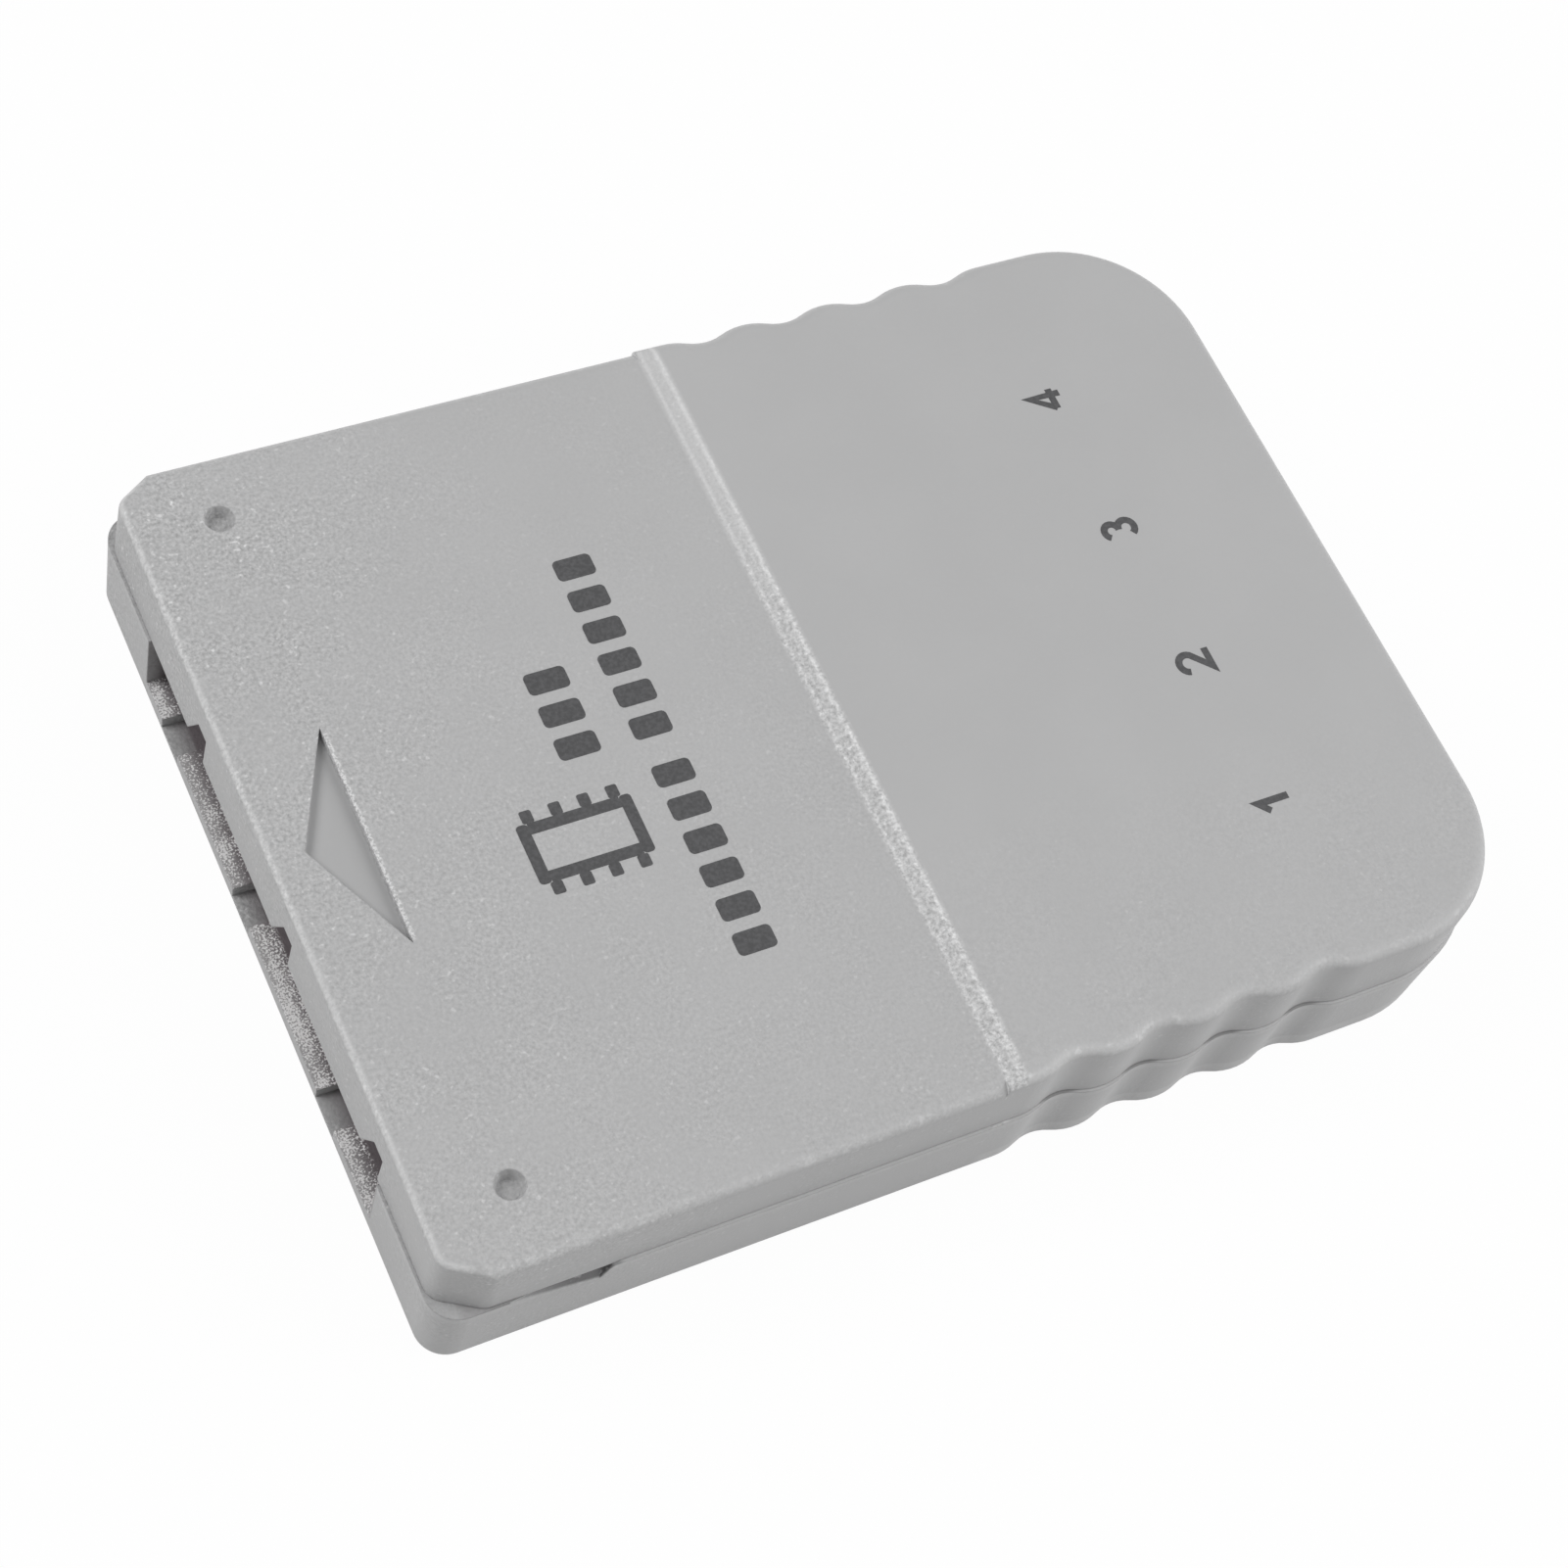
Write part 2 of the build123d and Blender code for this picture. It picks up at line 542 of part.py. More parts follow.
def all_parts():
    """Every piece by its node name."""
    parts = {"top_shell": top_shell(), "bottom_shell": bottom_shell(), "circuit_board": circuit_board()}
    for index in range(PAD_COUNT):
        parts[f"contact_pad_{index + 1}"] = contact_pad(index)
    parts["memory_chip"] = memory_chip()
    parts["memory_chip_leads"] = memory_chip_leads()
    resistor_x = PAD_X + PAD_LENGTH / 2 + RESISTOR_BEHIND_PADS + RESISTOR_SIZE[0] / 2
    for index in range(RESISTOR_COUNT):
        y = (index - (RESISTOR_COUNT - 1) / 2) * RESISTOR_PITCH
        parts[f"resistor_{index + 1}"] = capped_chip(RESISTOR_SIZE, resistor_x, y)
    supply_x = BOARD_REAR_X - SUPPLY_ROW_FROM_BOARD_REAR
    parts["bulk_capacitor"] = bulk_capacitor(supply_x)
    capacitor_y = CHIP_LENGTH / 2 - CAPACITOR_FROM_CHIP_END
    for index, side in enumerate(SIDES):
        parts[f"capacitor_{index + 1}"] = capped_chip(CAPACITOR_SIZE, supply_x, side * capacitor_y)
    return parts


if __name__ == "__main__":
    os.makedirs("parts", exist_ok=True)
    for name, piece in all_parts().items():
        export_step(piece, f"parts/{name}.step")
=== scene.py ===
import math
from types import SimpleNamespace

import bmesh
import bpy
from mathutils import Euler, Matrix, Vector


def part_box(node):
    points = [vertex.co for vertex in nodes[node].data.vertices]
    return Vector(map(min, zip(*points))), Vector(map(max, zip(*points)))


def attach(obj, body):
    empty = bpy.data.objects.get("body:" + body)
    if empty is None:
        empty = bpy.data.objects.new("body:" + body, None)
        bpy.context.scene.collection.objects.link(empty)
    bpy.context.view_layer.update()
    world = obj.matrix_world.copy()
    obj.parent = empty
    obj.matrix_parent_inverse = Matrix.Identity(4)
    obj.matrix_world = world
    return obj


# Look of the memory card: moulded grey plastic with a sparkling grain, printed marks and the board inside.
# Lengths below are in millimetres from the middle of the underside, turned into metres where they are used.
MM = 0.001

# Places on the case
FRONT_X = -21.9
SIDE_Y = 16.55
SILL_LIP_X = -21.05
CATCH_FRONT_X = -19.3
CATCH_REAR_X = -15.55
PLUG_TOP = 6.7
GRIP_TOP = 6.95
RAMP_FOOT_X = -0.95
RAMP_CREST_X = -0.26
ARROW_FLOOR = 6.35
SEAM_Z = 3.8
SILL_TOP = 0.95
CHANNEL_FLOOR = 0.45
MOUTH_HALF = 11.15
ARROW_BASE_X = -18.27
ARROW_HALF = 4.42

# Colours, linear
CASE_GREY = (0.43, 0.43, 0.432)
# Darker grey for painted shade above the seam, in the arrow recess and on the seam ledge
CASE_DARK = (0.37, 0.37, 0.372)
# Paler grey for wear and for painted highlights, painted light and painted glints
CASE_PALE = (0.66, 0.66, 0.662)
# Painted shadow in the catch pocket under the top shell's overhang
CATCH_SHADOW = (0.12, 0.118, 0.12)
SILL_GREY = (0.4, 0.39, 0.394)
# Pale colour of the painted glints on the textured sill
SILL_PALE = (0.88, 0.87, 0.872)
# Painted light over the seam's shadow, with painted highlights on the ledge
SEAM_PALE = (0.9, 0.9, 0.9)
# Painted shade inside the mouth: the sill's inner part, the channels, the end walls and the floor behind the lip
MOUTH_SHADOW = (0.13, 0.113, 0.12)
INK_DARK = (0.043, 0.043, 0.045)
INK_LIGHT = (0.075, 0.075, 0.078)

# Pieces inside the case: colours, linear, and sizes
MASK_DARK = (0.075, 0.05, 0.048)
MASK_LIGHT = (0.1, 0.068, 0.066)
MASK_TRACKS = (0.13, 0.09, 0.086)
MASK_CLOUD_SIZE = 3.0
GOLD_DARK = (0.62, 0.4, 0.12)
GOLD_LIGHT = (0.78, 0.55, 0.22)
GOLD_SCUFFS = 0.15
TIN_DARK = (0.5, 0.5, 0.48)
TIN_LIGHT = (0.68, 0.68, 0.66)
TIN_SCUFFS = 0.1
EPOXY_DARK = (0.012, 0.012, 0.013)
EPOXY_LIGHT = (0.03, 0.03, 0.031)
BULK_DARK = (0.5, 0.24, 0.02)
BULK_LIGHT = (0.62, 0.33, 0.04)
BULK_CAP = 0.15
RESISTOR_DARK = (0.01, 0.01, 0.012)
RESISTOR_LIGHT = (0.03, 0.03, 0.034)
CAPACITOR_DARK = (0.3, 0.2, 0.12)
CAPACITOR_LIGHT = (0.4, 0.28, 0.17)
END_CAP = 0.35
END_CAP_METAL = (0.62, 0.61, 0.58)

# Faces by the upward part of their normal
LEVEL = (0.85, 0.95)
UPRIGHT = (0.1, 0.3, 1.0, 0.0)
SLOPING = (0.2, 0.4)
RIM_ABOVE = (0.99, 0.75)
RIM_BELOW = (0.1, 0.6)

# Stretches of the case: start, end and softness of both ends
RAMP_BAND = (RAMP_FOOT_X, RAMP_CREST_X + 0.1, 0.12)
RAMP_FOOT_BAND = (RAMP_FOOT_X + 0.07, RAMP_FOOT_X + 0.24, 0.14)
RAMP_CREST_BAND = (RAMP_CREST_X - 0.18, RAMP_CREST_X + 0.08, 0.16)
RAMP_END_BAND = (RAMP_FOOT_X - 0.02, RAMP_FOOT_X + 0.02, 0.01)
RAMP_SIDE_BAND = (RAMP_FOOT_X - 0.5, 5.0, 1.0)
ARROW_BASE_BAND = (ARROW_BASE_X - 0.02, ARROW_BASE_X + 0.16, 0.05)
CATCH_BAND = (CATCH_FRONT_X, CATCH_REAR_X, 0.1)
MOUTH_END_BAND = (MOUTH_HALF - 0.08, MOUTH_HALF + 0.08, 0.02)
SILL_BROW_BAND = (FRONT_X + 0.05, FRONT_X + 0.4, 0.2)
ARROW_LAYER = (ARROW_FLOOR - 0.04, ARROW_FLOOR + 0.04, 0.02)
SILL_LAYER = (SILL_TOP - 0.1, SILL_TOP + 0.1, 0.05)
CHANNEL_LAYER = (CHANNEL_FLOOR - 0.1, CHANNEL_FLOOR + 0.1, 0.05)
MOUTH_LAYER = (SILL_TOP, SEAM_Z, 0.1)
CATCH_LAYER = (SEAM_Z - 1.0, SEAM_Z - 0.05, 0.04)
LEDGE_LAYER = (SEAM_Z - 0.1, SEAM_Z, 0.04)
SEAM_LAYER = (SEAM_Z - 0.03, SEAM_Z + 0.06, 0.02)
LOWER_EDGE_LAYER = (SEAM_Z - 0.4, SEAM_Z, 0.12)
# Painted shade on the walls just above the seam
SEAM_SHADE_LAYER = (SEAM_Z + 0.1, SEAM_Z + 0.7, 0.6)

# Changes along the case: start and end, then the values there if they aren't nothing and one
PLUG_TO_GRIP = (RAMP_FOOT_X, RAMP_CREST_X, 1.0, 0.0)
FRONT_RIM = (FRONT_X + 0.9, FRONT_X + 1.5, 1.0, 0.0)
NEAR_SIDE = (-13.0, -4.0, 1.0, 0.0)
NEAR_HALF = (0.0, 1.0, 1.0, 0.0)
RAMP_END_TOP = (PLUG_TOP - 0.8, PLUG_TOP - 0.5)
BEHIND_LIP = (SILL_LIP_X - 0.1, SILL_LIP_X + 0.1)
BELOW_SEAM = (SEAM_Z - 0.1, SEAM_Z, 1.0, 0.0)
IN_FROM_SIDE = (SIDE_Y - 0.08, SIDE_Y, 1.0, 0.0)
# Painted shadow in the catch, stronger towards its rear
CATCH_SHADOW_DEEPENS = (CATCH_FRONT_X, CATCH_REAR_X - 1.0, 0.45, 0.95)
BEHIND_CATCH = (CATCH_REAR_X + 0.1, CATCH_REAR_X + 0.5)
SCALLOP_CRESTS = (SIDE_Y - 0.36, SIDE_Y - 0.2)
GRIP_REAR = (15.0, 17.0)
ARROW_ENDS = (ARROW_HALF - 0.3, ARROW_HALF, 1.0, 0.0)
ARROW_BRINK = (ARROW_FLOOR + 0.1, ARROW_FLOOR + 0.2)
CASE_FOOT = (0.95, 1.1, 1.0, 0.0)
SILL_INWARD = (FRONT_X, SILL_LIP_X + 0.1)
CHANNEL_INWARD = (FRONT_X, FRONT_X + 0.9)

# Grain of the case: sizes in millimetres, and how coarse it is
GRAIN_SIZE = 0.14
SPECK_SIZE = 0.17
GLITTER_SIZE = 0.08
# Size of the rubbed spots that break up the painted rim highlights
RUB_AND_HIGHLIGHT_SIZE = 0.5
STREAK_SIZE = 1.6
PATCH_SIZE = 3.5
CLOUD_SIZE = 5.0
PATCHINESS = (0.35, 0.62, 0.55, 1.2)
COARSE_AT_MOUTH = (-8.0, 8.0, 1.1, 1.85)
COARSE_AT_PRINT = (-8.0, 8.0, 0.65, 0.33)
MOUTH_TO_PRINT = (FRONT_X, RAMP_FOOT_X - 6.0)
COARSE_ON_RAMP = (1.0, 11.0, 2.6, 0.7)
COARSE_LEAST = 0.07
COARSE_NEAR_SIDE = 0.5
GRAIN_TONE = 0.6
GRAIN_STRENGTH = 0.4
GRAIN_DEPTH = 0.05
GRAIN_ROUGHNESS = (0.3, 0.7, 0.46, 0.62)
CASE_SPECULAR = 0.4
EDGE_SOFTNESS = 0.1

# Shares of the dark and pale tones: random clouding, wear, and painted shade, highlights, glints and light
CLOUD_SPREAD = (0.3, 0.7)
CLOUD_DIM = 0.975
# Painted shade on the walls just above the seam
SEAM_SHADE_SHARE = 0.5
# Painted shade on the arrow recess floor and on the bottom shell's ledge at the seam
ARROW_SHADE_SHARE = 0.6
LEDGE_SHADE_SHARE = 0.8
# Painted highlights on the rounded rims and on the near rim by the ramp, broken by rubbed spots of wear; a
# steady painted highlight on the front rim
RUB_AND_HIGHLIGHT_SPREAD = (0.54, 0.7)
EDGE_RUB_AND_HIGHLIGHT = (0.0, 1.0, 0.32, 0.6)
RAMP_SIDE_RUB_AND_HIGHLIGHT = (0.0, 1.0, 0.5, 1.0)
FRONT_RIM_HIGHLIGHT = 0.7
# Painted highlight, broken by wear, on the upper edge of the bottom shell
LOWER_EDGE_HIGHLIGHT_SHARE = 0.4
# Painted highlights with wear on the ramp, brightest in lines at its foot and crest
RAMP_HIGHLIGHT_SHARE = 0.4
RAMP_LINE_HIGHLIGHT_SHARE = 0.85
# Painted light from the white floor on the lowest strip of the grip's walls
FOOT_BOUNCE_SHARE = 0.25
GLINT_SPREAD = (0.7, 0.84)
GLINT_SHARE = 0.35
# Painted glinting highlight along the rim behind the arrow's base
ARROW_EDGE_GLINTS = (0.42, 0.58)
SILL_STREAKS = (0.35, 0.65, -0.06, 0.05)
# Painted light on the sill's front edge, and painted glints over the sill
SILL_FRONT_LIGHT_GAIN = 0.1
SILL_GLINTS = (0.5, 0.64)
MOUTH_END_SHADE = (0.0, 1.0, 0.35, 1.0)
CHANNEL_SHADE = 0.7
# Painted light over the seam's shadow at the scallop crests and the grip's rear
SEAM_LIGHT_SHARE = 0.9

# Printed marks
INK_HEIGHT = 0.012
INK_STEP = 0.02
DIGIT_X = 13.8
DIGIT_FIRST_Y = -9.34
DIGIT_PITCH = 6.25
DIGIT_HEIGHT = 1.34
DIGIT_STROKE = 0.28
CHIP_MARK_X = (FRONT_X + 8.6, FRONT_X + 13.0)
CHIP_MARK_Y = (-4.3, -0.9)
CHIP_MARK_WALL = 0.45
CHIP_MARK_ROUND = 0.15
CHIP_MARK_SQUARE = 0.02
CHIP_LEG_COUNT = 4
CHIP_LEG_LENGTH = 0.5
CHIP_LEG_HALF = 0.22
CHIP_LEG_ROUND = 0.08
BLOCK_WIDTH = 0.9
BLOCK_PITCH = 1.4
BLOCK_ROUND = 0.2
# Rows of blocks: their reach along X, first Y and number
BLOCK_ROWS = (
    ((FRONT_X + 11.2, FRONT_X + 12.8), 0.5, 3),
    ((FRONT_X + 14.1, FRONT_X + 15.6), -8.6, 6),
    ((FRONT_X + 14.1, FRONT_X + 15.6), 0.45, 6),
)

# Camera and light
CAMERA_PLACE = (-46.39, -45.99, 104.05)
CAMERA_TURN = (29.93, -11.98, -25.05)
CAMERA_LENS = 73.88
KEY_DIRECTION = (-0.8, 0.4, 1.0)
KEY_POWER = 1.0
KEY_SIZE = 0.25
FILL_DIRECTION = (0.75, -0.35, 0.65)
FILL_POWER = 1.2
FILL_SIZE = 0.45
LAMP_DISTANCE = 0.45
WORLD_LIGHT = 0.35
FLOOR_SIZE = 3.0
FLOOR_WHITE = 0.75
FLOOR_GLOW = 0.97


def add(tree, kind, inputs=None, **settings):
    """Shader node with its settings, each input a plain value or the socket that feeds it."""
    node = tree.nodes.new("ShaderNode" + kind)
    for key, value in settings.items():
        setattr(node, key, value)
    for key, value in (inputs or {}).items():
        if isinstance(value, bpy.types.NodeSocket):
            tree.links.new(value, node.inputs[key])
        else:
            node.inputs[key].default_value = value
    return node


def calculate(tree, operation, first, second=0.0, **settings):
    """One step of arithmetic on two values or sockets."""
    return add(tree, "Math", {0: first, 1: second}, operation=operation, **settings).outputs[0]


def ramped(tree, value, low, high, start=0.0, end=1.0):
    """Smooth change from start to end while the value goes from low to high."""
    inputs = {"Value": value, "From Min": low, "From Max": high, "To Min": start, "To Max": end}
    return add(tree, "MapRange", inputs, interpolation_type="SMOOTHSTEP").outputs["Result"]


def between(tree, value, low, high, soft):
    """One inside a range and nothing outside, with soft ends."""
    rise = ramped(tree, value, low - soft, low + soft)
    fall = ramped(tree, value, high - soft, high + soft, 1.0, 0.0)
    return calculate(tree, "MULTIPLY", rise, fall)


def mixed(tree, factor, first, second):
    """Colour between two others."""
    colours = {"Factor": factor, "A": first, "B": second}
    node = tree.nodes.new("ShaderNodeMix")
    node.data_type = "RGBA"
    sockets = {"Factor": node.inputs[0], "A": node.inputs[6], "B": node.inputs[7]}
    for key, value in colours.items():
        if isinstance(value, bpy.types.NodeSocket):
            tree.links.new(value, sockets[key])
        elif key == "Factor":
            sockets[key].default_value = value
        else:
            sockets[key].default_value = (*value, 1.0)
    return node.outputs[2]


def noise(tree, place, size, detail=2.0, roughness=0.55):
    """Noise whose features are about the given size in millimetres."""
    inputs = {"Vector": place, "Scale": 1.0 / (size * MM), "Detail": detail, "Roughness": roughness}
    return add(tree, "TexNoise", inputs).outputs["Fac"]


def new_material(name):
    """Empty material with its surface shader, and the object's own coordinates."""
    material = bpy.data.materials.new(name)
    material.use_nodes = True
    tree = material.node_tree
    tree.nodes.clear()
    shader = add(tree, "BsdfPrincipled")
    add(tree, "OutputMaterial", {"Surface": shader.outputs[0]})
    place = add(tree, "TexCoord")
    return material, tree, shader, place


def feed(tree, shader, **sockets):
    """Connect varying sockets of the shader."""
    names = {"colour": "Base Color", "roughness": "Roughness", "normal": "Normal", "metal": "Metallic"}
    for key, socket in sockets.items():
        tree.links.new(socket, shader.inputs[names[key]])


def bumped(tree, height, strength, depth):
    """Surface normal raised by a height, the depth in millimetres."""
    inputs = {"Height": height, "Strength": strength, "Distance": depth * MM}
    return add(tree, "Bump", inputs).outputs[0]


def both(first, second):
    """Product of two masks, the first of them a socket."""
    return calculate(first.id_data, "MULTIPLY", first, second)


def either(first, second):
    """Larger of two masks, the first of them a socket."""
    return calculate(first.id_data, "MAXIMUM", first, second)


def other(mask):
    """What a mask leaves."""
    return calculate(mask.id_data, "SUBTRACT", 1.0, mask)


def case_places(tree, place):
    """Soft masks of the features of the case, from its own coordinates in millimetres."""
    scaled = add(tree, "VectorMath", {0: place.outputs["Object"], "Scale": 1.0 / MM}, operation="SCALE")
    x, y, z = add(tree, "SeparateXYZ", {0: scaled.outputs[0]}).outputs
    rise = add(tree, "SeparateXYZ", {0: place.outputs["Normal"]}).outputs[2]
    reach = calculate(tree, "ABSOLUTE", y)
    level = ramped(tree, rise, *LEVEL)
    flat = ramped(tree, calculate(tree, "ABSOLUTE", rise), *LEVEL)
    upright = ramped(tree, rise, *UPRIGHT)
    at = SimpleNamespace(x=x, y=y)

    at.plug = ramped(tree, x, *PLUG_TO_GRIP)
    at.near_side = ramped(tree, y, *NEAR_SIDE)
    at.rim = both(ramped(tree, rise, *RIM_ABOVE), ramped(tree, rise, *RIM_BELOW))
    at.front_rim = ramped(tree, x, *FRONT_RIM)
    at.ramp_side = both(between(tree, x, *RAMP_SIDE_BAND), ramped(tree, y, *NEAR_HALF))
    at.lower_edge = both(between(tree, z, *LOWER_EDGE_LAYER), upright)
    # Walls just above the seam, where painted shade goes
    at.grime = both(between(tree, z, *SEAM_SHADE_LAYER), upright)
    # Lowest strip of the grip's walls, where painted floor light goes
    at.foot = both(both(ramped(tree, z, *CASE_FOOT), upright), other(at.plug))

    at.ramp = both(between(tree, x, *RAMP_BAND), ramped(tree, rise, *SLOPING))
    at.ramp_lines = either(between(tree, x, *RAMP_FOOT_BAND), between(tree, x, *RAMP_CREST_BAND))
    # Crescent at the ramp's near end, lightened with painted light over its shade
    ramp_end = both(between(tree, x, *RAMP_END_BAND), upright)
    at.ramp_end = both(ramp_end, ramped(tree, z, *RAMP_END_TOP))

    at.arrow = both(between(tree, z, *ARROW_LAYER), level)
    arrow_base = both(between(tree, x, *ARROW_BASE_BAND), ramped(tree, reach, *ARROW_ENDS))
    at.arrow_edge = both(arrow_base, ramped(tree, z, *ARROW_BRINK))

    catch = both(between(tree, x, *CATCH_BAND), between(tree, z, *CATCH_LAYER))
    at.catch = both(catch, ramped(tree, reach, *IN_FROM_SIDE))
    # Painted shadow in the catch pocket, stronger towards its rear
    at.catch_shade = both(at.catch, ramped(tree, x, *CATCH_SHADOW_DEEPENS))
    at.ledge = both(between(tree, z, *LEDGE_LAYER), level)
    crests = either(ramped(tree, reach, *SCALLOP_CRESTS), ramped(tree, x, *GRIP_REAR))
    seam = both(both(between(tree, z, *SEAM_LAYER), flat), crests)
    at.seam = both(seam, ramped(tree, x, *BEHIND_CATCH))

    at.sill = both(between(tree, z, *SILL_LAYER), level)
    at.channel = both(between(tree, z, *CHANNEL_LAYER), level)
    at.mouth = both(both(ramped(tree, x, *BEHIND_LIP), level), ramped(tree, z, *BELOW_SEAM))
    mouth_end = both(between(tree, reach, *MOUTH_END_BAND), upright)
    at.mouth_end = both(mouth_end, between(tree, z, *MOUTH_LAYER))
    return at


def case_coarseness(tree, spot, at):
    """How coarse the grain is: most on the ramp and at the mouth, least on the grip."""
    patches = ramped(tree, noise(tree, spot, PATCH_SIZE, 2.0), *PATCHINESS)
    at_mouth = ramped(tree, at.y, *COARSE_AT_MOUTH)
    at_print = ramped(tree, at.y, *COARSE_AT_PRINT)
    handled = ramped(tree, at.x, *MOUTH_TO_PRINT, at_mouth, at_print)
    coarse = both(both(both(at.plug, handled), patches), other(at.arrow))
    coarse = either(either(coarse, COARSE_LEAST), both(both(at.near_side, patches), COARSE_NEAR_SIDE))
    return either(coarse, both(at.ramp, ramped(tree, at.y, *COARSE_ON_RAMP)))


def case_grey(tree, spot, at, glitter, coarse):
    """Grey of the case: painted shade above the seam, in the arrow recess, on the seam ledge and in the catch;
    paler on edges and ramp for wear and painted highlights; painted light at the ramp's end and the grip's foot;
    painted glints.
    """
    cloud = ramped(tree, noise(tree, spot, CLOUD_SIZE, 3.0), *CLOUD_SPREAD)
    shade = mixed(tree, cloud, tuple(channel * CLOUD_DIM for channel in CASE_GREY), CASE_GREY)
    # Painted shade on the walls just above the seam
    shade = mixed(tree, both(at.grime, SEAM_SHADE_SHARE), shade, CASE_DARK)
    # Painted shade on the arrow recess floor and on the bottom shell's ledge at the seam
    painted_hollow_shade = either(both(at.arrow, ARROW_SHADE_SHARE), both(at.ledge, LEDGE_SHADE_SHARE))
    shade = mixed(tree, painted_hollow_shade, shade, CASE_DARK)
    # Painted shadow in the catch pocket under the top shell's overhang
    shade = mixed(tree, at.catch_shade, shade, CATCH_SHADOW)

    # Painted highlights on the rounded rims, broken by rubbed spots of wear; a steady painted highlight on the
    # front rim
    rubbed_and_lit = ramped(tree, noise(tree, spot, RUB_AND_HIGHLIGHT_SIZE, 2.0, 0.6), *RUB_AND_HIGHLIGHT_SPREAD)
    edge_rub_and_highlight = ramped(tree, rubbed_and_lit, *EDGE_RUB_AND_HIGHLIGHT)
    rim_rub_and_highlight = either(both(at.front_rim, FRONT_RIM_HIGHLIGHT), both(at.ramp_side, ramped(tree, rubbed_and_lit, *RAMP_SIDE_RUB_AND_HIGHLIGHT)))
    rim_rub_and_highlight = either(edge_rub_and_highlight, rim_rub_and_highlight)
    # Painted highlight, broken by wear, on the upper edge of the bottom shell
    pale = either(both(at.rim, rim_rub_and_highlight), both(at.lower_edge, both(edge_rub_and_highlight, LOWER_EDGE_HIGHLIGHT_SHARE)))
    # Painted highlights with wear on the ramp, brightest in lines at its foot and crest
    pale = either(pale, both(at.ramp, either(both(at.ramp_lines, RAMP_LINE_HIGHLIGHT_SHARE), RAMP_HIGHLIGHT_SHARE)))
    # Painted glinting highlight along the rim behind the arrow's base
    pale = either(pale, both(at.arrow_edge, ramped(tree, glitter, *ARROW_EDGE_GLINTS)))
    # Painted light over the shaded crescent at the ramp's near end, and painted floor light on the lowest strip
    # of the grip's walls
    pale = either(pale, either(at.ramp_end, both(at.foot, FOOT_BOUNCE_SHARE)))
    glint = both(ramped(tree, noise(tree, spot, SPECK_SIZE, 0.0), *GLINT_SPREAD), coarse)
    pale = calculate(tree, "ADD", both(pale, other(at.catch)), both(glint, GLINT_SHARE), use_clamp=True)
    return mixed(tree, pale, shade, CASE_PALE)


def mouth_and_seam(tree, spot, at, glitter, colour):
    """Sill with painted glints and painted light at its front, painted shade inside the mouth, and painted light
    over the seam's shadow, laid over the case's colour.
    """
    # The sill fades inward into painted shade
    sill = mixed(tree, ramped(tree, at.x, *SILL_INWARD), SILL_GREY, MOUTH_SHADOW)
    # Painted glints on the textured sill, more of them at its front edge where painted light is added
    streaks = ramped(tree, noise(tree, spot, STREAK_SIZE, 1.0), *SILL_STREAKS)
    brow = both(between(tree, at.x, *SILL_BROW_BAND), SILL_FRONT_LIGHT_GAIN)
    sparkle = calculate(tree, "ADD", calculate(tree, "ADD", glitter, streaks), brow)
    sill = mixed(tree, ramped(tree, sparkle, *SILL_GLINTS), sill, SILL_PALE)
    colour = mixed(tree, at.sill, colour, sill)
    # Painted shade deepening into the channels and on the mouth's end walls
    inward = ramped(tree, at.x, *CHANNEL_INWARD)
    end_shade = both(at.mouth_end, ramped(tree, inward, *MOUTH_END_SHADE))
    colour = mixed(tree, either(end_shade, both(at.channel, both(inward, CHANNEL_SHADE))), colour, MOUTH_SHADOW)
    # Painted shade over the floor behind the sill lip
    colour = mixed(tree, at.mouth, colour, MOUTH_SHADOW)
    # Painted light over the seam's shadow at the scallop crests and the grip's rear
    return mixed(tree, both(at.seam, SEAM_LIGHT_SHARE), colour, SEAM_PALE)


def case_plastic():
    """Grey moulded plastic: sparkling grain on the plug end and ramp, a smooth grip, edges paler from wear and
    painted highlights, and painted shade in hollows and in the mouth.
    """
    material, tree, shader, place = new_material("case_plastic")
    spot = place.outputs["Object"]
    at = case_places(tree, place)
    grain = noise(tree, spot, GRAIN_SIZE, 2.0, 0.6)
    glitter = noise(tree, spot, GLITTER_SIZE, 2.0, 0.6)
    coarse = case_coarseness(tree, spot, at)
    shade = case_grey(tree, spot, at, glitter, coarse)
    uneven = calculate(tree, "SUBTRACT", grain, 0.5)
    tone = calculate(tree, "MULTIPLY_ADD", uneven, both(coarse, GRAIN_TONE))
    tone.node.inputs[2].default_value = 1.0
    shade = add(tree, "VectorMath", {0: shade, "Scale": tone}, operation="SCALE").outputs[0]
    normal = bumped(tree, both(grain, coarse), GRAIN_STRENGTH, GRAIN_DEPTH)
    soft_edges = add(tree, "Bevel", {"Radius": EDGE_SOFTNESS * MM}, samples=4).outputs[0]
    tree.links.new(soft_edges, normal.node.inputs["Normal"])
    feed(
        tree,
        shader,
        colour=mouth_and_seam(tree, spot, at, glitter, shade),
        roughness=ramped(tree, grain, *GRAIN_ROUGHNESS),
        normal=normal,
    )
    shader.inputs["Specular IOR Level"].default_value = CASE_SPECULAR
    return material


def printing_ink():
    """Matt grey ink, a little thin in places."""
    material, tree, shader, place = new_material("printing_ink")
    spot = place.outputs["Object"]
    cover = noise(tree, spot, 0.15, 3.0, 0.6)
    colour = mixed(tree, ramped(tree, cover, 0.35, 0.7), INK_DARK, INK_LIGHT)
    feed(tree, shader, colour=colour, roughness=ramped(tree, cover, 0.3, 0.7, 0.5, 0.65))
    return material


